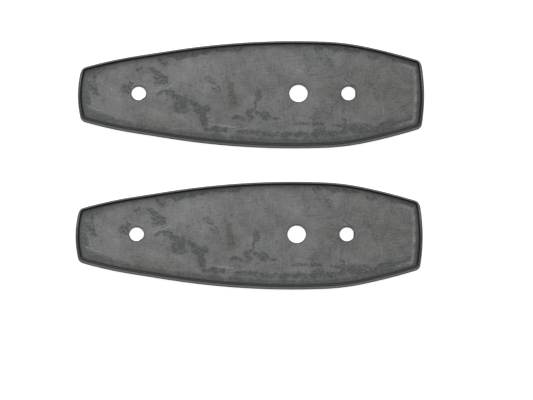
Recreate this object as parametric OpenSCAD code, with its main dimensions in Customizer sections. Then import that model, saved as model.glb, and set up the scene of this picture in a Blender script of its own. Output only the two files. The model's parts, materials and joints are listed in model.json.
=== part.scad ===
// A pair of moulded rubber mounting pads. Each is one piece: a thin flat floor inside a low raised
// rim, with a stud hole near each end and a larger wire hole, on an outline that is round-cornered
// and wider at one end than at the other.
// Millimetres. The origin is under the middle of the pair, on the surface that the pads lie on.
// +X runs along the pads to their wide ends, +Y from the near pad to the far pad, and +Z is up.

/* [Pad outline] */
// Overall length of a pad
pad_len = 184; // [178:0.5:200]
// Overall width of a pad at its widest place
pad_w = 57.8; // [55:0.1:61]
// Radius of the long side across the widest place
side_r = 415; // [395:5:430]
// Radius of the shoulder where the long side turns in towards the wide end
shoulder_r = 125; // [110:1:135]
// Radius of the long side between the shoulder and the wide end
tail_side_r = 310; // [280:5:340]
// Radius of the long side next to the narrow end
nose_side_r = 215; // [190:5:230]
// Radius of the four corners
corner_r = 3.7; // [2.5:0.1:5]

/* [Directions of the outline] */
// How far the side has turned in where the shoulder begins, in degrees
shoulder_start = 2.3; // [1.5:0.1:3]
// How far the side has turned in where the shoulder ends, in degrees
shoulder_end = 12; // [11:0.1:13]
// How far the side has turned in at the wide end's corner, in degrees
tail_corner = 17.3; // [16:0.1:18.5]
// How far the side has turned in along the straight flank, in degrees
flank = 9.1; // [8.5:0.1:9.5]
// How far the side has turned in at the narrow end's corner, in degrees
nose_corner = 16.3; // [15.5:0.1:17]
// Half the angle that the wide end's bowed edge spans, in degrees
tail_bow = 9; // [7:0.5:12]
// Half the angle that the narrow end's bowed edge spans, in degrees
nose_bow = 12.5; // [10:0.5:16]

/* [Section] */
// Overall thickness of a pad, from its underside to the top of its rim
pad_t = 5.5; // [4.5:0.1:8]
// Thickness of the floor
floor_t = 2.2; // [1.5:0.1:3.5]
// Width of the rim
rim_w = 1.8; // [1.2:0.1:2.2]

/* [Holes] */
// Distance of the narrow end's stud hole from the middle of the pad
nose_stud_x = 59.6; // [50:0.1:70]
// Distance of the wide end's stud hole from the middle of the pad
tail_stud_x = 51.8; // [45:0.1:70]
// Distance of the wire hole from the middle of the pad
wire_x = 25.2; // [5:0.1:32]
// Distance of the row of holes from the pad's middle line, to the far side
hole_shift = 0.8; // [-3:0.1:3]
// Diameter of a stud hole
stud_d = 7.8; // [5:0.1:9]
// Diameter of the wire hole
wire_d = 9.8; // [6:0.1:13]

/* [Pair] */
// Distance between the middle lines of the two pads
pair_pitch = 76.3; // [65:0.1:120]
// How far the near pad lies back along the far one
pair_shift = 1; // [0:0.5:20]

/* [Hidden] */
rubber = [0.30, 0.31, 0.31];
hole_fn = 96;
// How far one facet of the outline turns, in degrees, on a long arc and on a corner
long_step = 1;
corner_step = 8;
// How far a cut runs past the face that it leaves
past = 1;

// A side is a chain of arcs, each tangent to the next. It starts at the widest place, where its
// outward normal is +Y, and ends in the middle of an end, where the normal has turned 90 degrees.
// Each entry is the arc's radius and how far the normal has turned where the arc ends.
tail_arcs = [
    [side_r, shoulder_start],
    [shoulder_r, shoulder_end],
    [tail_side_r, tail_corner],
    [corner_r, 90 - tail_bow],
];
nose_arcs = [
    [side_r, flank],
    [nose_side_r, nose_corner],
    [corner_r, 90 - nose_bow],
];

// The outward normal and the forward direction where a side has turned by a
function normal(a) = [sin(a), cos(a)];
function ahead(a) = [cos(a), -sin(a)];

// The centre of a chain's arc i, with a straight run after its first arc
function centre(arcs, i, run) =
    i == 0
    ? [0, pad_w / 2 - arcs[0][0]]
    : centre(arcs, i - 1, run)
        + (arcs[i - 1][0] - arcs[i][0]) * normal(arcs[i - 1][1])
        + (i == 1 ? run * ahead(arcs[0][1]) : [0, 0]);

// A chain with the bowed end that closes it, whose centre is on the pad's middle line
function closed(arcs, run) =
    let (last = len(arcs) - 1)
    let (turned = arcs[last][1])
    let (from = centre(arcs, last, run) + arcs[last][0] * normal(turned))
    concat(arcs, [[from.y / cos(turned), 90]]);

// How far a closed chain reaches from the widest place
function reach(arcs, run) = let (last = len(arcs) - 1) centre(arcs, last, run).x + arcs[last][0];

// The points of one arc. The first is left out where the arc before it ends in the same place.
function arc(c, r, from, to, first) =
    let (n = ceil((to - from) / (r > corner_r ? long_step : corner_step)))
    [for (k = [first : n]) c + r * normal(from + (to - from) * k / n)];

// The points of a whole side after the widest place, moved in by inset
function side(arcs, run, inset) = [
    for (i = [0 : len(arcs) - 1])
        let (from = i == 0 ? 0 : arcs[i - 1][1])
        let (first = i == 1 && run > 0 ? 0 : 1)
        each arc(centre(arcs, i, run), arcs[i][0] - inset, from, arcs[i][1], first)
];

tail_reach = reach(closed(tail_arcs, 0), 0);
widest_x = pad_len / 2 - tail_reach;
// The narrow end's reach grows evenly with its straight run, so its gain over 1 mm of run gives
// the run that makes the pad as long as it should be.
bare_reach = reach(closed(nose_arcs, 0), 0);
reach_gain = reach(closed(nose_arcs, 1), 1) - bare_reach;
flank_run = (pad_len - tail_reach - bare_reach) / reach_gain;

// The outline's +Y half from the narrow end to the wide end, moved in by inset
function half_outline(inset) =
    let (nose = side(closed(nose_arcs, flank_run), flank_run, inset))
    let (tail = side(closed(tail_arcs, 0), 0, inset))
    concat(
        [for (i = [len(nose) - 1 : -1 : 0]) [widest_x - nose[i].x, nose[i].y]],
        [[widest_x, pad_w / 2 - inset]],
        [for (p = tail) [widest_x + p.x, p.y]]
    );

module plan(inset) {
    half = half_outline(inset);
    other_half = [for (i = [len(half) - 2 : -1 : 1]) [half[i].x, -half[i].y]];
    polygon(concat(half, other_half));
}

module hole(x, d) {
    translate([x, hole_shift, -past]) cylinder(d = d, h = floor_t + 2 * past, $fn = hole_fn);
}

module pad() {
    difference() {
        linear_extrude(height = pad_t) plan(0);
        translate([0, 0, floor_t]) linear_extrude(height = pad_t) plan(rim_w);
        hole(-nose_stud_x, stud_d);
        hole(wire_x, wire_d);
        hole(tail_stud_x, stud_d);
    }
}

module far_pad() {
    color(rubber) translate([pair_shift / 2, pair_pitch / 2, 0]) pad();
}

module near_pad() {
    color(rubber) translate([-pair_shift / 2, -pair_pitch / 2, 0]) pad();
}

far_pad();
near_pad();
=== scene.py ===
import json
import math

import bmesh
import bpy
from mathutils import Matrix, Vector, geometry, noise


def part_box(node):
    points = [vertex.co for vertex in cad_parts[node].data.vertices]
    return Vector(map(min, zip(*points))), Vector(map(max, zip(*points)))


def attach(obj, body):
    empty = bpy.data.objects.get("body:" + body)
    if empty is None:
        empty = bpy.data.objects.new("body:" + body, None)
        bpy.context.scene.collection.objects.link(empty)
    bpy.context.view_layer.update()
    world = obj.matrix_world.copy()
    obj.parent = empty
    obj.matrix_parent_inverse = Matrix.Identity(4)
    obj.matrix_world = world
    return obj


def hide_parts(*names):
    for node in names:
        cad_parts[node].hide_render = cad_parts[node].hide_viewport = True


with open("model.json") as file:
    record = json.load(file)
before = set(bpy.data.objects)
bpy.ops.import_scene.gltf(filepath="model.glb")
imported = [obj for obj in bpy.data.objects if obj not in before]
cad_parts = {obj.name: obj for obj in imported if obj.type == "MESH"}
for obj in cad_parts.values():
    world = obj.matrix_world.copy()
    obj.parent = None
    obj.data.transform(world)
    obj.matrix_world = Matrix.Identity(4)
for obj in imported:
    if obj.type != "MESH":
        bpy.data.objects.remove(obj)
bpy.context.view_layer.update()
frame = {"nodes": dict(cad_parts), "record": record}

bl_info = {
    "name": "Rubber mounting pads",
    "version": (1, 0, 0),
    "blender": (4, 5, 0),
    "location": "3D View > Sidebar > Mounting pads",
    "description": "A pair of moulded rubber mounting pads with a bloomed, scuffed face, and their studio",
    "category": "Add Mesh",
}

MM = 0.001
# The visual piece that stands for each CAD node. Each node is a body of its own name.
MOULDINGS = {"far_pad": "far_pad_moulding", "near_pad": "near_pad_moulding"}
# The zones of a moulding, in the order of its material slots
FACE, RIM, UNDERSIDE = range(3)


# ---- settings

def length(name, description, default):
    return bpy.props.FloatProperty(
        name=name, description=description, default=default, min=0, precision=5, unit="LENGTH"
    )


def colour(name, description, default):
    return bpy.props.FloatVectorProperty(
        name=name, description=description, default=default, size=3, min=0, max=1, subtype="COLOR"
    )


def share(name, description, default):
    return bpy.props.FloatProperty(
        name=name, description=description, default=default, min=0, max=1, subtype="FACTOR"
    )


def angle(name, description, degrees):
    return bpy.props.FloatProperty(
        name=name, description=description, default=math.radians(degrees), subtype="ANGLE"
    )


def amount(name, description, default):
    return bpy.props.FloatProperty(name=name, description=description, default=default, min=0)


class PadShape(bpy.types.PropertyGroup):
    """The section and the small shapes of a moulding, inside the CAD outline and thickness"""

    draft: length("Wall draft", "How far the outer wall leans in from its foot to its top", 0.5 * MM)
    rim_top: length("Rim top", "Width of the rim's flat top, with its rounded edges", 1.0 * MM)
    rim_edge: length("Rim edge radius", "Radius of the rim's two top edges", 0.3 * MM)
    inner_lean: length("Inner wall lean", "How far the inner wall leans in to the floor", 0.15 * MM)
    crease: length("Crease radius", "Radius where the inner wall meets the floor", 0.3 * MM)
    flash: length("Flash step", "Width of the step that the mould's parting line left", 0.12 * MM)
    flash_height: length("Flash height", "Height of the parting line above the underside", 0.6 * MM)
    hole_edge: length("Hole edge radius", "Radius of the edges of the punched holes", 0.08 * MM)
    spacing: length("Ring spacing", "Distance between the rings of a swept wall", 0.65 * MM)
    floor_grid: length("Floor grid", "Distance between the points of the recess floor", 1.0 * MM)
    under_grid: length("Underside grid", "Distance between the points of the underside", 3 * MM)
    wander: length("Wander", "How far the top of a wall wanders from its line", 0.12 * MM)
    sag: length("Floor waviness", "How far the recess floor rises and falls", 0.06 * MM)


class PadFinish(bpy.types.PropertyGroup):
    """The colours of the rubber and how strong its marks are"""

    # Also the colour of the painted highlight on the far side of the rim's crown
    bloom: colour("Bloom", "Grey, waxy bloom on the recess floor", (0.122, 0.125, 0.123))
    olive: colour("Olive bloom", "Warmer bloom that lies in patches", (0.097, 0.094, 0.080))
    # Also the colour of the painted shade inside the near side of the rim
    stain: colour("Stain", "Rubber that shows through where the bloom is rubbed off", (0.036, 0.039, 0.040))
    pale: colour("Pale marks", "Scratches, specks and the tide line", (0.215, 0.218, 0.214))
    # Also the colour of the painted shade in the crease at the foot of the inner wall
    rim: colour("Rim", "Clean rubber on the rim", (0.012, 0.014, 0.014))
    # Dust, painted strongest where the wall faces the near side as painted light from the floor
    wall: colour("Outer wall", "Dusty outer wall", (0.150, 0.147, 0.130))
    under: colour("Underside", "Rubber of the flat underside", (0.040, 0.041, 0.041))
    # Also sets the strength of the painted shade inside the rim
    stains: share("Stains", "Strength of the dark stains", 1.0)
    scratches: share("Scratches", "Strength of the pale scratches", 1.0)
    clouds: share("Clouds", "Strength of the cloudy variation of the bloom", 0.45)


class StudioLook(bpy.types.PropertyGroup):
    """The camera, the floor and the light"""

    tilt: angle("Camera tilt", "Angle of the camera off the vertical, to the near side", 11.5)
    distance: length("Camera distance", "Distance from the camera to the pads", 6.0)
    view_width: length("View width", "Width of the view at the pads", 0.2826)
    aim: bpy.props.FloatVectorProperty(
        name="Aim", description="Where the camera looks, along and across the pads", size=2,
        default=(0.0087, -0.0186), unit="LENGTH",
    )
    floor_size: length("Floor size", "Side of the square floor", 8.0)
    floor: colour("Floor", "Colour of the floor", (0.93, 0.93, 0.93))
    floor_glow: amount("Floor glow", "Light that the floor gives off, as a lit table does", 0.55)
    light: amount("Softbox", "Strength of the overhead light", 2.9)
    light_spread: angle("Softbox spread", "Angle that the overhead light fills", 100)
    light_lean: angle("Softbox lean", "Angle of the light off the vertical, to the far side", 20)
    room: amount("Room light", "Strength of the even light of the room", 0.16)


# ---- marks on the face

# Places on a pad in millimetres from its middle, x towards the wide end and y towards the far side:
# start, end, half width, strength. Patches are short, wide strokes.
# Rubbed-off stains; the last three strokes are painted shade towards the near side of the rim
RUBBED_AND_SHADE = [
    # the trail that runs down from the far side of the narrow end
    ((-52.5, 13.5), (-50, 12), 3.0, 1.0),
    ((-50, 10.5), (-46, 8.5), 3.2, 0.9),
    ((-50, 6.5), (-44.5, 6), 2.5, 0.8),
    ((-49, 0.5), (-44, 2), 2.5, 0.7),
    ((-44, 1), (-35, -3.5), 3.4, 0.85),
    ((-39, -6), (-36, -8), 5.3, 1.0),
    ((-33, -4), (-28, -6.5), 2.5, 0.7),
    ((-27, -8), (-24, -9), 4.1, 1.1),
    ((-25.5, -11), (-25, -15.5), 2.5, 0.9),
    ((-48.5, 19), (-46, 17), 2.3, 0.7),
    # beside the narrow end's stud hole, and a smudge above it
    ((-67, 3.5), (-64.5, 2.5), 3.4, 0.9),
    ((-64, 6), (-63.5, 5), 1.8, 0.7),
    ((-60.5, 13.6), (-57.5, 13.6), 1.4, 0.8),
    # inside the narrow end
    ((-85, 5), (-82.5, 1), 3.9, 0.85),
    ((-86, 14), (-83, 9), 2.8, 0.6),
    # along the far side of the rim
    ((-43, 20.5), (-24, 23.5), 2.5, 1.0),
    ((-26, 23.5), (-6, 25.3), 2.8, 1.1),
    ((34, 26), (57, 23.5), 2.3, 0.9),
    ((62, 20.5), (66, 19.5), 1.7, 0.9),
    ((73, 19.5), (83, 15.5), 1.8, 0.7),
    ((36, 22), (42, 17), 5.2, 0.45),
    # soft smears in the middle
    ((-22, 8), (-18, 3), 4.1, 0.5),
    ((-11, 5), (-9.5, -4), 3.2, 0.6),
    # the web left of the wire hole
    ((3.5, 1), (4, -2), 1.5, 0.7),
    ((3, -3), (1, -9), 2.1, 0.8),
    ((-1, -10), (0, -13), 2.5, 0.8),
    ((4, -10.5), (9, -12.5), 3.0, 1.1),
    ((9, -12.5), (14, -13), 1.8, 0.9),
    # blots on the near side, from the narrow end to the wide end
    ((-24, -18.5), (-14, -19), 2.5, 1.0),
    ((-9, -12.5), (-5, -13.5), 2.0, 0.8),
    ((-8, -19), (20, -22.5), 2.5, 0.8),
    ((24, -16), (31, -16.2), 1.4, 0.8),
    ((33, -15.8), (38, -16.3), 1.8, 1.0),
    ((44, -16.2), (50, -16.4), 1.5, 1.0),
    ((49, -13), (50, -14), 1.5, 0.9),
    ((34, -20), (48, -20.5), 2.8, 0.85),
    ((53, -18), (62, -19), 3.4, 1.1),
    ((62, -19), (80, -15.5), 3.0, 0.9),
    ((78, -16), (87, -12), 2.3, 0.8),
    # the broad dark band under those blots, painted shade towards the near side of the rim
    ((50, -19), (66, -19.5), 4.6, 0.9),
    ((66, -18.5), (86, -14), 3.6, 0.8),
    ((5, -22), (45, -22.5), 2.8, 0.7),
]
# Where the bloom lies thickest
THICK = [
    ((-38, 14), (-26, 9), 10.0, 1.0),
    ((-75, 2), (-70, -4), 6.0, 0.5),
    ((22, 14), (28, 14), 4.0, 0.7),
    ((44, 21), (49, 23), 2.5, 0.6),
    ((46, -10), (49, -12), 3.0, 0.6),
    ((-2, -18), (28, -19), 3.6, 0.8),
    ((-38, -14), (-28, -17), 3.5, 0.6),
    ((-84, 12), (-79, 6), 3.0, 0.6),
    ((-57, -8), (-45, -14), 4.5, 0.6),
]
# Thin pale scratches and streaks
SCRATCHES = [
    ((-50, 1.8), (-41.5, 5.2), 0.55, 0.9),
    ((-49, 3.5), (-44, 5.5), 0.4, 0.5),
    ((-86, 1.5), (-83, -7.2), 0.4, 0.8),
    ((-86.8, -6.2), (-78, -9.5), 0.45, 0.9),
    ((-78, -9.5), (-70.3, -13.4), 0.4, 0.7),
    ((-22, -16), (-8, -18), 0.8, 0.9),
    ((-10, -19.5), (-2, -18), 0.7, 0.8),
    ((-42, -19), (-30, -18), 0.6, 0.4),
    ((50.5, -9), (52, -21), 0.35, 0.6),
    ((47, -9), (47.5, -17), 0.3, 0.4),
    ((32, -14), (31.5, -24), 0.5, 0.5),
    ((26, -13), (31, -15), 1.6, 0.3),
    ((25, 12), (28.5, 15), 2.2, 0.35),
    ((17, -13), (16, -22), 0.4, 0.35),
    ((63, 3), (66, -8), 0.35, 0.3),
]
# Warmer bloom
OLIVE = [
    ((-12, 8), (-9, -6), 5.5, 0.9),
    ((60, 12), (78, 2), 16.0, 0.6),
    ((-60, -14), (-40, -17), 6.0, 0.6),
    ((-50, -3), (-46, -8), 4.0, 0.4),
    ((40, 2), (52, -4), 9.0, 0.45),
    ((58, -8), (80, -6), 8.0, 0.4),
]
# A small cut beside the wide end's stud hole
CRACK = [
    ((49.8, 8.3), (53.0, 5.6), 0.32, 1.0),
    ((53.0, 5.6), (55.8, 4.2), 0.30, 1.0),
]
# The soft marks that are kept as attributes of the mesh
SOFT_MARKS = {"rubbed": RUBBED_AND_SHADE, "thick": THICK, "olive": OLIVE}
# All in millimetres. Where each end and side of a pad fades in: from none to all of it
NARROW_END = (-62, -84)
WIDE_END = (74, 84)
NEAR_SIDE = (6, -14)
FAR_SIDE = (-4, 8)
# The tide line's distance from the foot of the wall
TIDE_LINE = 3.0
# The heights between which the dust fades in above the parting line and below the top edge. Below the first
# the wall's foot stays dark, painted shade as well as clean rubber.
DUST_FOOT = (0.9, 1.4)
DUST_TOP = (4.4, 3.9)
# The heights between which the bloom crept up the inner wall's foot: from none to all of it
CREPT = (3.3, 2.4)
# The distances from a hole between which its dark ring fades in
HOLE_RING = (0.75, 0.3)
# Inside this distance from the outline the soft marks aren't needed
RIM_CLEAR = 1.2
# Swirls that push the soft marks about, so that their edges are ragged
SWIRL_SIZE = 3.5
SWIRL_REACH = 1.8


# ---- pad geometry

def pad_centre(node):
    """The middle of a pad's underside."""
    low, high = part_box(node)
    return Vector(((low.x + high.x) / 2, (low.y + high.y) / 2, low.z))


def pad_outline(node):
    """A pad's outline, anticlockwise round its centre."""
    centre = pad_centre(node)
    foot = [v.co for v in frame["nodes"][node].data.vertices if v.co.z < centre.z + 0.1 * MM]
    flat = [Vector((co.x - centre.x, co.y - centre.y)) for co in foot]
    hull = [flat[i] for i in geometry.convex_hull_2d(flat)]
    hull = [p for p, after in zip(hull, hull[1:] + hull[:1]) if (after - p).length > 0.01 * MM]
    turned = sum(p.x * after.y - after.x * p.y for p, after in zip(hull, hull[1:] + hull[:1]))
    return hull if turned > 0 else hull[::-1]


def pad_holes(node):
    """The centre and radius of each of a pad's holes, from the part's bores."""
    centre = pad_centre(node)
    side = node.split("_")[0] + "_"
    bores = [
        mount for mount in frame["record"]["mounts"]
        if mount["kind"] == "bore" and mount["name"].startswith(side)
    ]
    holes = {}
    for mount in bores:
        place = Vector(mount["pos_m"]) - centre
        holes[mount["name"].removeprefix(side)] = (Vector((place.x, place.y)), mount["dims"]["r_mm"] * MM)
    return holes


def floor_height(node):
    """The height of the recess floor above the underside, from the part's mounts."""
    side = node.split("_")[0] + "_"
    for mount in frame["record"]["mounts"]:
        if mount["name"] == side + "recess_floor":
            return mount["pos_m"][2] - pad_centre(node).z
    raise RuntimeError(f"{node} has no recess floor in the record")


# Where a hole's edge was crushed a little flat: the direction of the flat, in degrees, and its depth
CRUSHED = {
    "narrow_stud_hole": (-55, 0.25 * MM),
    "wide_stud_hole": (0, 0.4 * MM),
    "wire_hole": (150, 0.05 * MM),
}


def hole_edge(centre, radius, flat_at, flat_depth, steps=120):
    """A hole's edge, clockwise, so that the rubber is on its left, with one side crushed flat."""
    points = []
    for i in range(steps):
        angle = -2 * math.pi * i / steps
        off_flat = math.cos(angle - math.radians(flat_at))
        reach = radius
        if off_flat > 0:
            reach = min(radius, (radius - flat_depth) / off_flat)
        points.append(centre + reach * Vector((math.cos(angle), math.sin(angle))))
    return points


def rounded(corners, steps=6):
    """A section through corners (x, height, radius), each turned on its radius."""
    points = []
    for i, (x, z, radius) in enumerate(corners):
        here = Vector((x, z))
        if radius == 0 or i in (0, len(corners) - 1):
            points.append(here)
            continue
        back = (Vector(corners[i - 1][:2]) - here).normalized()
        on = (Vector(corners[i + 1][:2]) - here).normalized()
        half_angle = back.angle(on) / 2
        centre = here + (back + on).normalized() * radius / math.sin(half_angle)
        start = here + back * radius / math.tan(half_angle) - centre
        end = here + on * radius / math.tan(half_angle) - centre
        turn = start.angle_signed(end)
        for k in range(steps + 1):
            angle = -turn * k / steps
            cos, sin = math.cos(angle), math.sin(angle)
            points.append(centre + Vector((start.x * cos - start.y * sin, start.x * sin + start.y * cos)))
    return points


def rim_section(shape, thickness, floor):
    """The rim's section from the underside, up the outer wall, over the top and down to the floor."""
    step = shape.flash
    foot_lean = shape.draft * shape.flash_height / thickness
    inner_top = shape.draft + shape.rim_top
    inner_foot = inner_top + shape.inner_lean
    return rounded([
        (1.2 * MM, 0, 0),
        (0.02 * MM, 0, 0.12 * MM),
        (0.02 * MM, shape.flash_height - 0.05 * MM, 0.04 * MM),
        (foot_lean + step, shape.flash_height + 0.05 * MM, 0.04 * MM),
        (shape.draft, thickness, shape.rim_edge),
        (inner_top, thickness, shape.rim_edge),
        (inner_foot, floor, shape.crease),
        (inner_foot + 2 * shape.crease, floor, 0),
    ])


def hole_section(shape, floor):
    """A hole's section from the underside, up its wall to the floor."""
    edge = shape.hole_edge
    return rounded([
        (4 * edge, 0, 0),
        (0, 0, edge),
        (0, floor, edge),
        (4 * edge, floor, 0),
    ])


# ---- swept walls

def add_object(name, data):
    made = bpy.data.objects.new(name, data)
    bpy.context.scene.collection.objects.link(made)
    return made


def curve_object(name, points, closed):
    curve = bpy.data.curves.new(name, "CURVE")
    curve.dimensions = "3D"
    spline = curve.splines.new("POLY")
    spline.points.add(len(points) - 1)
    for place, point in zip(spline.points, points):
        place.co = (point.x, point.y, 0, 1)
    spline.use_cyclic_u = closed
    return add_object(name, curve)


def add_node(tree, kind, **settings):
    made = tree.nodes.new(kind)
    for key, value in settings.items():
        setattr(made, key, value)
    return made


def feed(tree, socket, value):
    """Links value to socket where it is a socket, and sets it there where it is a number."""
    if isinstance(value, bpy.types.NodeSocket):
        tree.links.new(value, socket)
    else:
        socket.default_value = value


def feed_all(tree, made, **values):
    """Feeds a node's inputs and gives its outputs. An underscore in a keyword stands for a space."""
    for key, value in values.items():
        feed(tree, made.inputs[key.replace("_", " ")], value)
    return made.outputs


def swept_wall_tree():
    """A node tree that sweeps a section along a closed path. The section's +X points to the left of
    the path and its +Y up, and the wall wanders more the higher it stands."""
    name = "Swept wall"
    if name in bpy.data.node_groups:
        return bpy.data.node_groups[name]
    tree = bpy.data.node_groups.new(name, "GeometryNodeTree")
    sockets = tree.interface
    sockets.new_socket("Path", in_out="INPUT", socket_type="NodeSocketGeometry")
    sockets.new_socket("Section", in_out="INPUT", socket_type="NodeSocketObject")
    for each in ("Spacing", "Wander", "Wander length", "Height"):
        sockets.new_socket(each, in_out="INPUT", socket_type="NodeSocketFloat")
    sockets.new_socket("Material", in_out="INPUT", socket_type="NodeSocketMaterial")
    sockets.new_socket("Wall", in_out="OUTPUT", socket_type="NodeSocketGeometry")
    given = add_node(tree, "NodeGroupInput").outputs
    result = add_node(tree, "NodeGroupOutput").inputs

    rings = add_node(tree, "GeometryNodeResampleCurve", mode="LENGTH")
    rings = feed_all(tree, rings, Curve=given["Path"], Length=given["Spacing"])
    upright = add_node(tree, "GeometryNodeSetCurveNormal", mode="Z_UP")
    upright = feed_all(tree, upright, Curve=rings["Curve"])

    section = add_node(tree, "GeometryNodeObjectInfo", transform_space="ORIGINAL")
    section = feed_all(tree, section, Object=given["Section"])
    turned = add_node(tree, "GeometryNodeTransform")
    turned = feed_all(tree, turned, Geometry=section["Geometry"], Rotation=(0, 0, math.pi))
    sweep = add_node(tree, "GeometryNodeCurveToMesh")
    sweep = feed_all(tree, sweep, Curve=upright["Curve"], Profile_Curve=turned["Geometry"])

    place = add_node(tree, "GeometryNodeInputPosition").outputs["Position"]
    frequency = maths(tree, "DIVIDE", 1, given["Wander length"])
    swirls = add_node(tree, "ShaderNodeTexNoise", noise_dimensions="4D")
    swirls = feed_all(tree, swirls, Vector=place, W=3.7, Scale=frequency, Detail=2.0)
    centred = vectors(tree, "SUBTRACT", swirls["Color"], (0.5, 0.5, 0.5))
    raised = maths(tree, "DIVIDE", parts(tree, place)["Z"], given["Height"])
    offset = vectors(tree, "SCALE", centred, times(tree, raised, given["Wander"]))
    moved = add_node(tree, "GeometryNodeSetPosition")
    moved = feed_all(tree, moved, Geometry=sweep["Mesh"], Offset=offset)

    smooth = add_node(tree, "GeometryNodeSetShadeSmooth")
    smooth = feed_all(tree, smooth, Geometry=moved["Geometry"])
    real = add_node(tree, "GeometryNodeRealizeInstances")
    real = feed_all(tree, real, Geometry=smooth["Geometry"])
    finish = add_node(tree, "GeometryNodeSetMaterial")
    finish = feed_all(tree, finish, Geometry=real["Geometry"], Material=given["Material"])
    feed(tree, result["Wall"], finish["Geometry"])
    return tree


def swept_wall(path_points, section_points, shape, height, material):
    """The mesh of one wall, swept by the node tree."""
    path = curve_object("wall_path", path_points, closed=True)
    section = curve_object("wall_section", section_points, closed=False)
    tree = swept_wall_tree()
    modifier = path.modifiers.new("Sweep", "NODES")
    modifier.node_group = tree
    values = {
        "Section": section,
        "Spacing": shape.spacing,
        "Wander": shape.wander,
        "Wander length": 28 * MM,
        "Height": height,
        "Material": material,
    }
    for item in tree.interface.items_tree:
        if item.in_out == "INPUT" and item.name in values:
            modifier[item.identifier] = values[item.name]
    evaluated = path.evaluated_get(bpy.context.evaluated_depsgraph_get())
    mesh = bpy.data.meshes.new_from_object(evaluated)
    for used in (path, section):
        data = used.data
        bpy.data.objects.remove(used)
        bpy.data.curves.remove(data)
    return mesh


def wall_loop(mesh, section_count, which):
    """One end of the swept section, all the way round: which is 0 for its start and -1 for its end."""
    rings = len(mesh.vertices) // section_count
    first = which % section_count
    return [mesh.vertices[ring * section_count + first].co.copy() for ring in range(rings)]


# ---- flat sheets

def grid_points(outline, holes, spacing):
    """Points on a staggered grid, a little clear of the outline and of the holes."""
    low = Vector((min(p.x for p in outline), min(p.y for p in outline)))
    high = Vector((max(p.x for p in outline), max(p.y for p in outline)))
    edges = list(zip(outline, outline[1:] + outline[:1]))
    row_height = spacing * math.sqrt(3) / 2
    clear = 0.6 * spacing
    points = []
    for row in range(int((high.y - low.y) / row_height) + 1):
        y = low.y + row * row_height
        shift = spacing / 2 * (row % 2)
        spans = [a.x + (b.x - a.x) * (y - a.y) / (b.y - a.y) for a, b in edges if (a.y > y) != (b.y > y)]
        if len(spans) < 2:
            continue
        left, right = min(spans) + clear, max(spans) - clear
        for column in range(int((high.x - low.x) / spacing) + 1):
            point = Vector((low.x + shift + column * spacing, y))
            if left < point.x < right and min(y - low.y, high.y - y) > clear:
                if all((point - centre).length > radius + clear for centre, radius in holes):
                    points.append(point)
    return points


def is_inside(point, loop):
    """Whether a point is inside a closed loop, by the even-odd rule."""
    crossed = False
    for a, b in zip(loop, loop[1:] + loop[:1]):
        if (a.y > point.y) != (b.y > point.y):
            if point.x < a.x + (b.x - a.x) * (point.y - a.y) / (b.y - a.y):
                crossed = not crossed
    return crossed


def sheet(outer_loop, hole_loops, holes, spacing, height_at):
    """A sheet of triangles between an outer loop and the hole loops. It keeps the loops' own points,
    and height_at gives the height of each point between them."""
    loops = [outer_loop] + hole_loops
    fixed = [co for loop in loops for co in loop]
    fixed_edges = []
    start = 0
    for loop in loops:
        count = len(loop)
        fixed_edges += [(start + i, start + (i + 1) % count) for i in range(count)]
        start += count
    outline = [co.to_2d() for co in outer_loop]
    between = grid_points(outline, holes, spacing)
    flat = [co.to_2d() for co in fixed] + between
    inside_only = 1
    points, _, faces, sources, _, _ = geometry.delaunay_2d_cdt(flat, fixed_edges, [], inside_only, 1e-9)
    placed = []
    for point, source in zip(points, sources):
        kept = [i for i in source if i < len(fixed)]
        placed.append(fixed[kept[0]] if kept else Vector((point.x, point.y, height_at(point))))
    reach = max(radius for _, radius in holes) * 1.5
    solid = []
    for face in faces:
        middle = sum((points[i] for i in face), Vector((0, 0))) / len(face)
        beside = [loop for loop, (centre, _) in zip(hole_loops, holes) if (middle - centre).length < reach]
        if not any(is_inside(middle, loop) for loop in beside):
            solid.append(face)
    mesh = bpy.data.meshes.new("sheet")
    mesh.from_pydata(placed, [], solid)
    return mesh


# ---- the moulding

def floor_shape(outline, holes, floor, sag):
    """The height of the recess floor at a point: level at the walls, gently wavy between them."""
    edges = list(zip(outline, outline[1:] + outline[:1]))
    inward = [Vector((a.y - b.y, b.x - a.x)).normalized() for a, b in edges]
    settled = 6 * MM
    wave = 1 / (19 * MM)
    ripple = 1 / (5 * MM)

    def height_at(point):
        walls = min((point - a).dot(n) for (a, _), n in zip(edges, inward))
        rims = min((point - centre).length - radius for centre, radius in holes)
        weight = max(0.0, min(1.0, min(walls, rims) / settled))
        weight = weight * weight * (3 - 2 * weight)
        broad = noise.noise(Vector((point.x * wave, point.y * wave, 1.7)))
        fine = noise.noise(Vector((point.x * ripple, point.y * ripple, 8.3)))
        return floor + weight * sag * (broad + 0.35 * fine)

    return height_at


def add_zone(target, mesh, zone, level=math.inf, above=FACE):
    """Adds mesh to the bmesh target, as the given zone, and deletes it. Above level it is another zone."""
    for face in mesh.polygons:
        face.material_index = above if face.center.z > level else zone
    target.from_mesh(mesh)
    bpy.data.meshes.remove(mesh)


def stroke(point, start, end, half_width):
    """1 on the line from start to end, falling smoothly to 0 at half_width from it."""
    run = Vector(end) - Vector(start)
    gone = point - Vector(start)
    part = max(0.0, min(1.0, gone.dot(run) / run.length_squared))
    near = max(0.0, 1 - (gone - part * run).length / half_width)
    return near * near * (3 - 2 * near)


def strongest_stroke(point, marks):
    """The strongest of a list of marks at a point, both in millimetres on the pad. The point is first
    pushed about a little, so that the marks have ragged edges."""
    swirl = Vector((point.x, point.y, 0.0)) / SWIRL_SIZE
    other = swirl + Vector((0, 0, 5.3))
    pushed = point + SWIRL_REACH * Vector((noise.noise(swirl), noise.noise(other)))
    return max(strength * stroke(pushed, start, end, width) for start, end, width, strength in marks)


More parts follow.
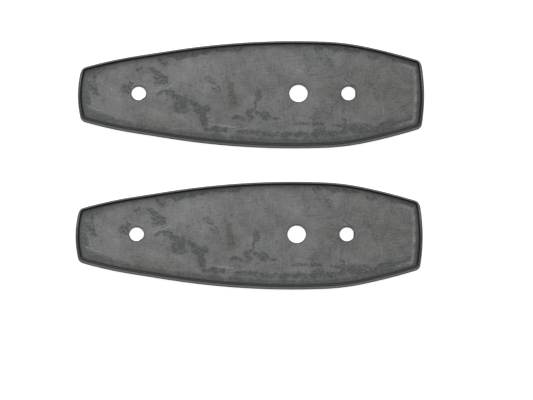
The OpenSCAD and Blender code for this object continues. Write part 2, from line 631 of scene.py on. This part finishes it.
def store_places(mesh, centre, outline, holes):
    """Keeps, at each vertex: its place on its pad, its distance inside the outline and its distance
    from the nearest hole, all in millimetres, how far the outline there faces the near side, and the
    strengths of the soft marks."""
    edges = list(zip(outline, outline[1:] + outline[:1]))
    inward = [(a, Vector((a.y - b.y, b.x - a.x)).normalized()) for a, b in edges]
    places, insets, facings, clearances, points = [], [], [], [], []
    for vertex in mesh.vertices:
        local = vertex.co - centre
        flat = local.to_2d()
        places.extend(local / MM)
        inset, facing = min(((flat - a).dot(n), n.y) for a, n in inward)
        insets.append(inset / MM)
        facings.append(facing)
        clearances.append(min((flat - middle).length - radius for middle, radius in holes) / MM)
        points.append(flat / MM)
    mesh.attributes.new("pad_mm", "FLOAT_VECTOR", "POINT").data.foreach_set("vector", places)
    stored = {"inset_mm": insets, "near_facing": facings, "hole_mm": clearances}
    for name, marks in SOFT_MARKS.items():
        stored[name] = [
            strongest_stroke(point, marks) if inset > RIM_CLEAR else 0.0
            for point, inset in zip(points, insets)
        ]
    for name, values in stored.items():
        mesh.attributes.new(name, "FLOAT", "POINT").data.foreach_set("value", values)


def moulding(node, name, shape, materials):
    """One whole pad, as a closed mesh with its place in it."""
    centre = pad_centre(node)
    outline = pad_outline(node)
    holes = pad_holes(node)
    floor = floor_height(node)
    low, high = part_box(node)
    thickness = high.z - low.z

    body = bmesh.new()
    profile = rim_section(shape, thickness - 0.5 * shape.wander, floor)
    rim = swept_wall(outline, profile, shape, thickness, materials[RIM])
    under_loop = wall_loop(rim, len(profile), 0)
    floor_loop = wall_loop(rim, len(profile), -1)
    add_zone(body, rim, RIM)

    profile = hole_section(shape, floor)
    under_holes, floor_holes = [], []
    clear_holes = list(holes.values())
    for key, (place, radius) in holes.items():
        edge = hole_edge(place, radius - 0.02 * MM, *CRUSHED[key])
        wall = swept_wall(edge, profile, shape, thickness, materials[RIM])
        under_holes.append(wall_loop(wall, len(profile), 0))
        floor_holes.append(wall_loop(wall, len(profile), -1))
        add_zone(body, wall, RIM, floor - 2 * shape.hole_edge)

    inner = [co.to_2d() for co in floor_loop]
    height_at = floor_shape(inner, clear_holes, floor, shape.sag)
    face = sheet(floor_loop, floor_holes, clear_holes, shape.floor_grid, height_at)
    add_zone(body, face, FACE)
    under = sheet(under_loop, under_holes, clear_holes, shape.under_grid, lambda point: 0.0)
    add_zone(body, under, UNDERSIDE)

    bmesh.ops.remove_doubles(body, verts=body.verts, dist=0.002 * MM)
    bmesh.ops.recalc_face_normals(body, faces=body.faces)
    open_edges = [edge for edge in body.edges if len(edge.link_faces) != 2]
    if open_edges:
        raise RuntimeError(f"{name} is not closed: {len(open_edges)} loose edges")
    for each in body.faces:
        each.smooth = True
    bmesh.ops.translate(body, vec=centre, verts=body.verts)

    mesh = bpy.data.meshes.new(name)
    body.to_mesh(mesh)
    body.free()
    for material in materials:
        mesh.materials.append(material)
    store_places(mesh, centre, outline, clear_holes)
    return add_object(name, mesh)


# ---- shader helpers

def maths(tree, operation, *values, clamp=False):
    made = add_node(tree, "ShaderNodeMath", operation=operation, use_clamp=clamp)
    for socket, value in zip(made.inputs, values):
        feed(tree, socket, value)
    return made.outputs["Value"]


def times(tree, first, second, clamp=False):
    return maths(tree, "MULTIPLY", first, second, clamp=clamp)


def scaled(tree, value, factor, plus, clamp=False):
    """value * factor + plus."""
    return maths(tree, "MULTIPLY_ADD", value, factor, plus, clamp=clamp)


def vectors(tree, operation, *values):
    made = add_node(tree, "ShaderNodeVectorMath", operation=operation)
    operands = [made.inputs[0], made.inputs[1]]
    if operation == "SCALE":
        operands = [made.inputs[0], made.inputs["Scale"]]
    for socket, value in zip(operands, values):
        feed(tree, socket, value)
    single = operation in ("DOT_PRODUCT", "LENGTH", "DISTANCE")
    return made.outputs["Value" if single else "Vector"]


def parts(tree, vector):
    """The X, Y and Z of a vector."""
    return feed_all(tree, add_node(tree, "ShaderNodeSeparateXYZ"), Vector=vector)


def fade(tree, value, start, end):
    """0 where value is at start and 1 where it is at end, with a smooth step between."""
    made = add_node(tree, "ShaderNodeMapRange", interpolation_type="SMOOTHSTEP")
    return feed_all(tree, made, Value=value, From_Min=start, From_Max=end)["Result"]


def pattern(tree, place, size, detail=3.0, roughness=0.55, stretch=(1, 1, 1), turn=0.0):
    """Noise from 0 to 1 whose features are about size across, in place's units, stretched and turned."""
    mapping = add_node(tree, "ShaderNodeMapping", vector_type="TEXTURE")
    rotation = (0, 0, math.radians(turn))
    scale = tuple(size * s for s in stretch)
    mapped = feed_all(tree, mapping, Vector=place, Rotation=rotation, Scale=scale)["Vector"]
    made = add_node(tree, "ShaderNodeTexNoise")
    return feed_all(tree, made, Vector=mapped, Scale=1.0, Detail=detail, Roughness=roughness)["Fac"]


def blend_colours(tree, factor, first, second):
    made = add_node(tree, "ShaderNodeMix", data_type="RGBA")
    feed(tree, made.inputs["Factor"], factor)
    colours = [socket for socket in made.inputs if socket.type == "RGBA"]
    for socket, value in zip(colours, (first, second)):
        feed(tree, socket, value if isinstance(value, bpy.types.NodeSocket) else (*value, 1))
    return [socket for socket in made.outputs if socket.type == "RGBA"][0]


def new_group(name, inputs, output):
    """A shader node group with inputs {name: (socket kind, default)} and one value as its output."""
    tree = bpy.data.node_groups.new(name, "ShaderNodeTree")
    for key, (kind, default) in inputs.items():
        socket = tree.interface.new_socket(key, in_out="INPUT", socket_type="NodeSocket" + kind)
        socket.default_value = default
    tree.interface.new_socket(output, in_out="OUTPUT", socket_type="NodeSocketFloat")
    given = tree.nodes.new("NodeGroupInput").outputs
    result = tree.nodes.new("NodeGroupOutput").inputs[output]
    return tree, given, result


def use_group(tree, group, **values):
    return feed_all(tree, add_node(tree, "ShaderNodeGroup", node_tree=group), **values)


def mark_group():
    """A soft stroke from Start to End: 1 inside it, 0 outside."""
    name = "Mark"
    if name in bpy.data.node_groups:
        return bpy.data.node_groups[name]
    inputs = {key: ("Vector", (0.0, 0.0, 0.0)) for key in ("Place", "Start", "End")}
    inputs |= {key: ("Float", 1.0) for key in ("Half width", "Softness")}
    tree, given, result = new_group(name, inputs, "Mask")
    run = vectors(tree, "SUBTRACT", given["End"], given["Start"])
    gone = vectors(tree, "SUBTRACT", given["Place"], given["Start"])
    along = vectors(tree, "DOT_PRODUCT", gone, run)
    whole = vectors(tree, "DOT_PRODUCT", run, run)
    part = maths(tree, "DIVIDE", along, whole, clamp=True)
    nearest = vectors(tree, "SCALE", run, part)
    away = vectors(tree, "LENGTH", vectors(tree, "SUBTRACT", gone, nearest))
    share_out = maths(tree, "DIVIDE", away, given["Half width"])
    core = maths(tree, "SUBTRACT", 1, given["Softness"])
    feed(tree, result, fade(tree, share_out, 1, core))
    return tree


def texture_group(texture):
    """A shader group that gives texture's value at Place, with its features scaled by Size."""
    inputs = {"Place": ("Vector", (0.0, 0.0, 0.0)), "Size": ("Float", 1.0)}
    tree, given, result = new_group(texture.__name__, inputs, "Value")
    place = vectors(tree, "SCALE", given["Place"], maths(tree, "DIVIDE", 1, given["Size"]))
    feed(tree, result, texture(tree, place, given["Place"]))
    return tree


def textured(tree, texture, place, size):
    """The value at place of cloudy, brushed or grainy, with its features scaled by size."""
    group = bpy.data.node_groups.get(texture.__name__) or texture_group(texture)
    return use_group(tree, group, Place=place, Size=size)["Value"]


def cloudy(tree, place, _):
    """Cloudy variation at three sizes, centred on 0."""
    broad = pattern(tree, place, 1.0, detail=4.0)
    small = pattern(tree, place, 0.2, detail=3.0)
    speckle = pattern(tree, place, 0.06, detail=2.0)
    summed = scaled(tree, small, 0.7, broad)
    summed = maths(tree, "ADD", speckle, summed)
    centred = maths(tree, "SUBTRACT", summed, 0.5 * (1 + 0.7 + 1.0))
    return times(tree, centred, 2)


def brushed(tree, place, unscaled):
    """Fine streaks along and across the pad, centred on 0, as a cloth or a brush leaves them."""
    along = pattern(tree, place, 1.0, detail=2.0, stretch=(16, 1, 1), turn=3)
    across = pattern(tree, place, 1.0, detail=2.0, stretch=(1, 14, 1), turn=-4)
    gate = fade(tree, pattern(tree, unscaled, 17.0, detail=1.0), 0.42, 0.58)
    chosen = feed_all(tree, add_node(tree, "ShaderNodeMix"), Factor=gate, A=along, B=across)
    centred = maths(tree, "SUBTRACT", chosen["Result"], 0.5)
    return times(tree, centred, 2)


def grainy(tree, place, _):
    """The rubber's fine grain, as a height from 0 to 1."""
    pits = pattern(tree, place, 1.0, detail=3.0, roughness=0.65)
    broad = pattern(tree, place, 7.0, detail=2.0)
    return scaled(tree, broad, 0.7, pits)


def attribute(tree, name, output):
    return add_node(tree, "ShaderNodeAttribute", attribute_name=name).outputs[output]


def new_material(name):
    """A material with only a Principled BSDF, its tree and the shader."""
    material = bpy.data.materials.new(name)
    material.use_nodes = True
    tree = material.node_tree
    tree.nodes.clear()
    shader = tree.nodes.new("ShaderNodeBsdfPrincipled")
    output = tree.nodes.new("ShaderNodeOutputMaterial")
    tree.links.new(shader.outputs["BSDF"], output.inputs["Surface"])
    shader.inputs["IOR"].default_value = 1.5
    return material, tree, shader.inputs


def bump(tree, height, depth, normal=None):
    """A normal from a height of 0 to 1 that stands depth metres tall."""
    made = add_node(tree, "ShaderNodeBump")
    outputs = feed_all(tree, made, Height=height, Distance=depth, Strength=1.0)
    if normal is not None:
        feed(tree, made.inputs["Normal"], normal)
    return outputs["Normal"]


# ---- materials

def all_marks(tree, place, marks, softness):
    """The strongest of a list of marks at each place."""
    group = mark_group()
    strongest = None
    for start, end, half_width, strength in marks:
        mask = use_group(
            tree, group, Place=place, Start=(*start, 0), End=(*end, 0),
            Half_width=half_width, Softness=softness,
        )["Mask"]
        strong = times(tree, mask, strength)
        strongest = strong if strongest is None else maths(tree, "MAXIMUM", strongest, strong)
    return strongest


def warped(tree, place, size, reach):
    """Place, pushed about by up to reach millimetres in swirls of the given size."""
    made = add_node(tree, "ShaderNodeTexNoise")
    swirls = feed_all(tree, made, Vector=place, Scale=1 / size, Detail=3.0)
    push = vectors(tree, "SUBTRACT", swirls["Color"], (0.5, 0.5, 0.5))
    return vectors(tree, "ADD", place, vectors(tree, "SCALE", push, 2 * reach))


def bloom_patches(tree, flat, mottle):
    """How much brighter or darker the bloom is, in patches with ragged edges."""
    thick = fade(tree, maths(tree, "ADD", attribute(tree, "thick", "Fac"), mottle), 0.15, 0.5)
    ragged = warped(tree, flat, SWIRL_SIZE, SWIRL_REACH)
    patchy = fade(tree, pattern(tree, ragged, 11.0, detail=3.0), 0.44, 0.56)
    return scaled(tree, thick, 0.12, scaled(tree, patchy, 0.12, -0.06))


def torn_bloom(tree, flat):
    """How bare the rubber is inside a stain, where fine specks of bloom stayed on."""
    torn = pattern(tree, flat, 1.3, detail=3.0, roughness=0.7, stretch=(1.4, 1, 1), turn=-25)
    return scaled(tree, fade(tree, torn, 0.41, 0.58), 0.8, 0.42)


def flecks_and_specks(tree, flat):
    """Masks of small dark flecks and small pale specks, each thick in its own areas."""
    gate = pattern(tree, flat, 13.0, detail=2.0)
    flecks = pattern(tree, flat, 0.9, detail=3.0, roughness=0.6, stretch=(2.4, 1, 1), turn=8)
    flecks = times(tree, fade(tree, flecks, 0.54, 0.66), fade(tree, gate, 0.38, 0.58))
    specks = pattern(tree, flat, 0.75, detail=3.0, roughness=0.6, stretch=(1, 2.6, 1), turn=-12)
    specks = times(tree, fade(tree, specks, 0.56, 0.7), fade(tree, gate, 0.56, 0.4))
    return flecks, specks


def edge_band(tree, from_wall, edge_noise, narrow_end, wide_end, near_side):
    """The dark band inside the rim: thin bloom, wide at the narrow end, and painted shade of the rim on the
    near side.
    """
    width = scaled(tree, narrow_end, 2.4, 2.1)
    width = scaled(tree, near_side, 1.4, width)
    ragged_edge = maths(tree, "ADD", from_wall, edge_noise)
    band = fade(tree, maths(tree, "DIVIDE", ragged_edge, width), 1.3, 0.6)
    level = scaled(tree, narrow_end, 0.55, 0.2)
    level = maths(tree, "MAXIMUM", level, times(tree, near_side, 0.9))
    level = maths(tree, "MAXIMUM", level, times(tree, wide_end, 0.95))
    return times(tree, band, level)


def tide_line(tree, from_wall, edge_noise, wide_end, mottle):
    """The pale line that dried just inside the wide end's rim."""
    tide = scaled(tree, edge_noise, 0.35, from_wall)
    tide = maths(tree, "ABSOLUTE", maths(tree, "SUBTRACT", tide, TIDE_LINE))
    tide = times(tree, fade(tree, tide, 1.3, 0.2), times(tree, wide_end, 0.75))
    return times(tree, tide, scaled(tree, mottle, 2.0, 0.8), clamp=True)


def face_material(finish, shape):
    """The recess floor: grey bloom, rubbed off in stains, with streaks, scratches and a tide line, painted
    shade in the crease and towards the near rim, and painted light that is strongest on the far side of the
    narrow end.
    """
    material, tree, shader = new_material("bloomed_rubber")
    place = attribute(tree, "pad_mm", "Vector")
    inset = attribute(tree, "inset_mm", "Fac")
    wall_foot = (shape.draft + shape.rim_top + shape.inner_lean) / MM
    from_wall = maths(tree, "SUBTRACT", inset, wall_foot)
    x, y, _ = parts(tree, place)
    flat = vectors(tree, "MULTIPLY", place, (1, 1, 0))
    narrow_end = fade(tree, x, *NARROW_END)
    wide_end = fade(tree, x, *WIDE_END)
    near_side = fade(tree, y, *NEAR_SIDE)

    clouds = textured(tree, cloudy, flat, 20.0)
    streaks = textured(tree, brushed, flat, 0.6)
    mottle = maths(tree, "SUBTRACT", pattern(tree, flat, 2.0, detail=5.0, roughness=0.68), 0.5)
    edge_noise = scaled(tree, pattern(tree, flat, 4.0), 3.2, -1.6)
    patches = bloom_patches(tree, flat, mottle)
    torn = torn_bloom(tree, flat)
    flecks, specks = flecks_and_specks(tree, flat)

    # Dark marks: the stains with painted shade towards the near rim, the band inside the rim with painted
    # shade on its near side, a ring round each hole and the flecks
    stains = fade(tree, scaled(tree, mottle, 2.0, attribute(tree, "rubbed", "Fac")), 0.05, 0.7)
    stains = times(tree, stains, torn)
    band = edge_band(tree, from_wall, edge_noise, narrow_end, wide_end, near_side)
    band = times(tree, band, scaled(tree, torn, 0.5, 0.45))
    hole_ring = fade(tree, attribute(tree, "hole_mm", "Fac"), *HOLE_RING)
    dark = maths(tree, "MAXIMUM", stains, band)
    dark = maths(tree, "MAXIMUM", dark, times(tree, hole_ring, 0.85))
    dark = scaled(tree, flecks, 0.65, dark, clamp=True)
    dark = times(tree, dark, finish.stains)

    # Pale marks: the scratches, the tide line and the specks
    scratches = all_marks(tree, warped(tree, flat, 6.0, 0.5), SCRATCHES, 0.9)
    scratches = times(tree, scratches, scaled(tree, mottle, 1.8, 0.7), clamp=True)
    tide = tide_line(tree, from_wall, edge_noise, wide_end, mottle)
    pale = maths(tree, "MAXIMUM", scratches, tide)
    pale = maths(tree, "MAXIMUM", pale, times(tree, specks, 0.3))
    pale = times(tree, pale, finish.scratches)
    crack = all_marks(tree, flat, CRACK, 0.6)

    tint = blend_colours(tree, attribute(tree, "olive", "Fac"), finish.bloom, finish.olive)
    tint = blend_colours(tree, dark, tint, finish.stain)
    tint = blend_colours(tree, pale, tint, finish.pale)
    tint = blend_colours(tree, times(tree, crack, 0.6), tint, finish.stain)
    # Painted shade in the crease: the floor is painted the rim's black along the foot of the wall, more of
    # it on the near side.
    crease_shade_reach = scaled(tree, near_side, 1.2, 0.25)
    crease = fade(tree, maths(tree, "DIVIDE", from_wall, crease_shade_reach), 1.0, 0.35)
    crease = times(tree, crease, scaled(tree, near_side, 0.65, 0.25))
    tint = blend_colours(tree, crease, tint, finish.rim)
    # Painted light: the face is painted lighter on the far side of the narrow end and darker towards the
    # other corner.
    painted_light_slope = vectors(tree, "DOT_PRODUCT", flat, (-0.35, 1.0, 0.0))
    painted_light_slope = scaled(tree, fade(tree, painted_light_slope, -42, 34), 0.3, 0.86)
    level = scaled(tree, clouds, finish.clouds, maths(tree, "ADD", painted_light_slope, patches))
    level = scaled(tree, streaks, 0.5, level)
    feed(tree, shader["Base Color"], vectors(tree, "SCALE", tint, level))

    rough = scaled(tree, dark, -0.14, 0.66)
    feed(tree, shader["Roughness"], scaled(tree, streaks, 0.12, rough))
    grain = textured(tree, grainy, place, 0.32)
    relief = bump(tree, grain, 0.012 * MM)
    relief = bump(tree, streaks, 0.02 * MM, relief)
    marks = maths(tree, "SUBTRACT", scratches, times(tree, crack, 4))
    feed(tree, shader["Normal"], bump(tree, marks, 0.05 * MM, relief))
    return material


def rim_material(finish, shape):
    """The rim and the walls: clean dark rubber with a scuffed crown that is painted with a highlight on the
    far side and shade at its near edges, and dust with painted light on the near wall.
    """
    material, tree, shader = new_material("rim_rubber")
    place = attribute(tree, "pad_mm", "Vector")
    inset = attribute(tree, "inset_mm", "Fac")
    draft, rim_top, edge = (size / MM for size in (shape.draft, shape.rim_top, shape.rim_edge))
    _, y, z = parts(tree, place)

    clouds = textured(tree, cloudy, place, 14.0)
    scuffs = pattern(tree, place, 0.9, detail=4.0, roughness=0.65)
    # Dust lies on the wall between the parting line and the dark top edge, painted much stronger where the
    # wall faces the near side as painted light from the floor.
    on_wall = fade(tree, inset, draft + 0.02, draft - 0.1)
    over_flash = fade(tree, z, *DUST_FOOT)
    under_edge = fade(tree, z, *DUST_TOP)
    facing = attribute(tree, "near_facing", "Fac")
    near_side = fade(tree, facing, 0.35, 0.95)
    dust_and_near_light = times(tree, on_wall, times(tree, over_flash, under_edge))
    dust_and_near_light = times(tree, dust_and_near_light, scaled(tree, near_side, 0.85, 0.12))
    dust_and_near_light = times(tree, dust_and_near_light, scaled(tree, scuffs, 0.8, 0.55), clamp=True)
    tint = blend_colours(tree, dust_and_near_light, finish.rim, finish.wall)
    # The crown of the rim is scuffed grey between its two dark edges. On the far side the grey is wider and
    # lighter as a painted highlight, and on the near side the dark edges are wider as painted shade.
    far_side = fade(tree, y, *FAR_SIDE)
    dark_edge_width = scaled(tree, far_side, -0.9 * edge, 1.1 * edge)
    off_middle = maths(tree, "ABSOLUTE", maths(tree, "SUBTRACT", inset, draft + rim_top / 2))
    from_edge = maths(tree, "SUBTRACT", rim_top / 2, off_middle)
    crown = fade(tree, maths(tree, "SUBTRACT", from_edge, dark_edge_width), 0, 0.12)
    far_painted_highlight = times(tree, far_side, 0.45)
    worn_and_lit = times(tree, crown, scaled(tree, scuffs, 1.1, far_painted_highlight), clamp=True)
    tint = blend_colours(tree, worn_and_lit, tint, finish.bloom)
    # Bloom has crept a little way up the foot of the inner wall on the far side.
    past_rim = maths(tree, "SUBTRACT", inset, draft + rim_top)
    crept = times(tree, fade(tree, past_rim, 0.0, 0.1), fade(tree, past_rim, 2.5, 2.0))
    crept = times(tree, crept, fade(tree, z, *CREPT))
    crept = times(tree, crept, fade(tree, facing, -0.5, -0.9))
    tint = blend_colours(tree, times(tree, crept, 0.7), tint, finish.bloom)
    level = scaled(tree, clouds, 0.25, 1)
    feed(tree, shader["Base Color"], vectors(tree, "SCALE", tint, level))
    shader["Specular IOR Level"].default_value = 0.25
    rough = scaled(tree, dust_and_near_light, 0.2, 0.5)
    feed(tree, shader["Roughness"], scaled(tree, scuffs, 0.16, rough))
    grain = textured(tree, grainy, place, 0.28)
    relief = bump(tree, grain, 0.012 * MM)
    feed(tree, shader["Normal"], bump(tree, scuffs, 0.02 * MM, relief))
    return material


def underside_material(finish):
    """The flat underside: plain dark rubber with a faint bloom and a few rubbing streaks."""
    material, tree, shader = new_material("underside_rubber")
    place = attribute(tree, "pad_mm", "Vector")
    clouds = textured(tree, cloudy, place, 26.0)
    streaks = textured(tree, brushed, place, 0.8)
    bloomed = fade(tree, clouds, -0.05, 0.35)
    tint = blend_colours(tree, times(tree, bloomed, 0.5), finish.under, finish.bloom)
    level = scaled(tree, streaks, 0.5, 1)
    feed(tree, shader["Base Color"], vectors(tree, "SCALE", tint, level))
    feed(tree, shader["Roughness"], scaled(tree, bloomed, 0.15, 0.52))
    grain = textured(tree, grainy, place, 0.4)
    feed(tree, shader["Normal"], bump(tree, grain, 0.02 * MM))
    return material


# ---- the studio

def floor_material(look):
    """A pale table top, slightly lit from within, with a very faint unevenness."""
    material, tree, shader = new_material("pale_floor")
    place = add_node(tree, "ShaderNodeTexCoord").outputs["Object"]
    uneven = pattern(tree, place, 0.4, detail=2.0)
    level = scaled(tree, uneven, 0.01, 0.995)
    feed(tree, shader["Base Color"], vectors(tree, "SCALE", tuple(look.floor), level))
    shader["Roughness"].default_value = 0.9
    shader["Specular IOR Level"].default_value = 0.2
    shader["Emission Color"].default_value = (*look.floor, 1)
    shader["Emission Strength"].default_value = look.floor_glow
    return material


def make_floor(look):
    mesh = bpy.data.meshes.new("floor")
    half = look.floor_size / 2
    drop = -0.02 * MM
    corners = [(-half, -half, drop), (half, -half, drop), (half, half, drop), (-half, half, drop)]
    mesh.from_pydata(corners, [], [(0, 1, 2, 3)])
    mesh.materials.append(floor_material(look))
    return add_object("floor", mesh)


def make_camera(look):
    """A long lens over the near side, so that both pads are seen at the same angle."""
    data = bpy.data.cameras.new("camera")
    data.lens = data.sensor_width * look.distance / look.view_width
    camera = add_object("camera", data)
    aim = Vector((*look.aim, 0))
    back = Vector((0, -math.sin(look.tilt), math.cos(look.tilt)))
    camera.location = aim + look.distance * back
    camera.rotation_euler = (look.tilt, 0, 0)
    bpy.context.scene.camera = camera


def make_lights(look):
    data = bpy.data.lights.new("softbox", "SUN")
    data.energy = look.light
    data.angle = look.light_spread
    softbox = add_object("softbox", data)
    softbox.location = (0, 0.6, 1.5)
    softbox.rotation_euler = (-look.light_lean, 0, 0)
    world = bpy.data.worlds.new("room")
    world.use_nodes = True
    background = world.node_tree.nodes["Background"]
    background.inputs["Color"].default_value = (1, 1, 1, 1)
    background.inputs["Strength"].default_value = look.room
    bpy.context.scene.world = world


# ---- operators and panel

class MOUNTINGPADS_OT_make_stage(bpy.types.Operator):
    """Make the floor, the soft light and the camera"""

    bl_idname = "mounting_pads.make_stage"
    bl_label = "Make the stage"

    def execute(self, context):
        look = context.scene.pad_studio
        view = context.scene.view_settings
        view.view_transform = "Standard"
        view.look = "None"
        make_camera(look)
        make_lights(look)
        make_floor(look)
        return {"FINISHED"}


class MOUNTINGPADS_OT_make_mouldings(bpy.types.Operator):
    """Make the two rubber mouldings in place of their plain CAD solids"""

    bl_idname = "mounting_pads.make_mouldings"
    bl_label = "Make the mouldings"

    def execute(self, context):
        shape = context.scene.pad_shape
        finish = context.scene.pad_finish
        materials = [face_material(finish, shape), rim_material(finish, shape), underside_material(finish)]
        for node, name in MOULDINGS.items():
            piece = moulding(node, name, shape, materials)
            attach(piece, node)
            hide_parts(node)
        return {"FINISHED"}


class MOUNTINGPADS_PT_panel(bpy.types.Panel):
    """The settings of the mounting pads and the buttons that make them"""

    bl_idname = "MOUNTINGPADS_PT_panel"
    bl_label = "Mounting pads"
    bl_space_type = "VIEW_3D"
    bl_region_type = "UI"
    bl_category = "Mounting pads"

    def draw(self, context):
        for group in ("pad_shape", "pad_finish", "pad_studio"):
            settings = getattr(context.scene, group)
            box = self.layout.box()
            for key in settings.__annotations__:
                box.prop(settings, key)
        for operator in OPERATORS:
            self.layout.operator(operator.bl_idname)


OPERATORS = (MOUNTINGPADS_OT_make_stage, MOUNTINGPADS_OT_make_mouldings)
SETTINGS = {"pad_shape": PadShape, "pad_finish": PadFinish, "pad_studio": StudioLook}


def register():
    for each in (*SETTINGS.values(), *OPERATORS, MOUNTINGPADS_PT_panel):
        bpy.utils.register_class(each)
    for key, group in SETTINGS.items():
        setattr(bpy.types.Scene, key, bpy.props.PointerProperty(type=group))


def unregister():
    for key in SETTINGS:
        delattr(bpy.types.Scene, key)
    for each in reversed((*SETTINGS.values(), *OPERATORS, MOUNTINGPADS_PT_panel)):
        bpy.utils.unregister_class(each)


def main():
    register()
    bpy.ops.mounting_pads.make_stage()
    bpy.ops.mounting_pads.make_mouldings()


if __name__ == "__main__":
    main()
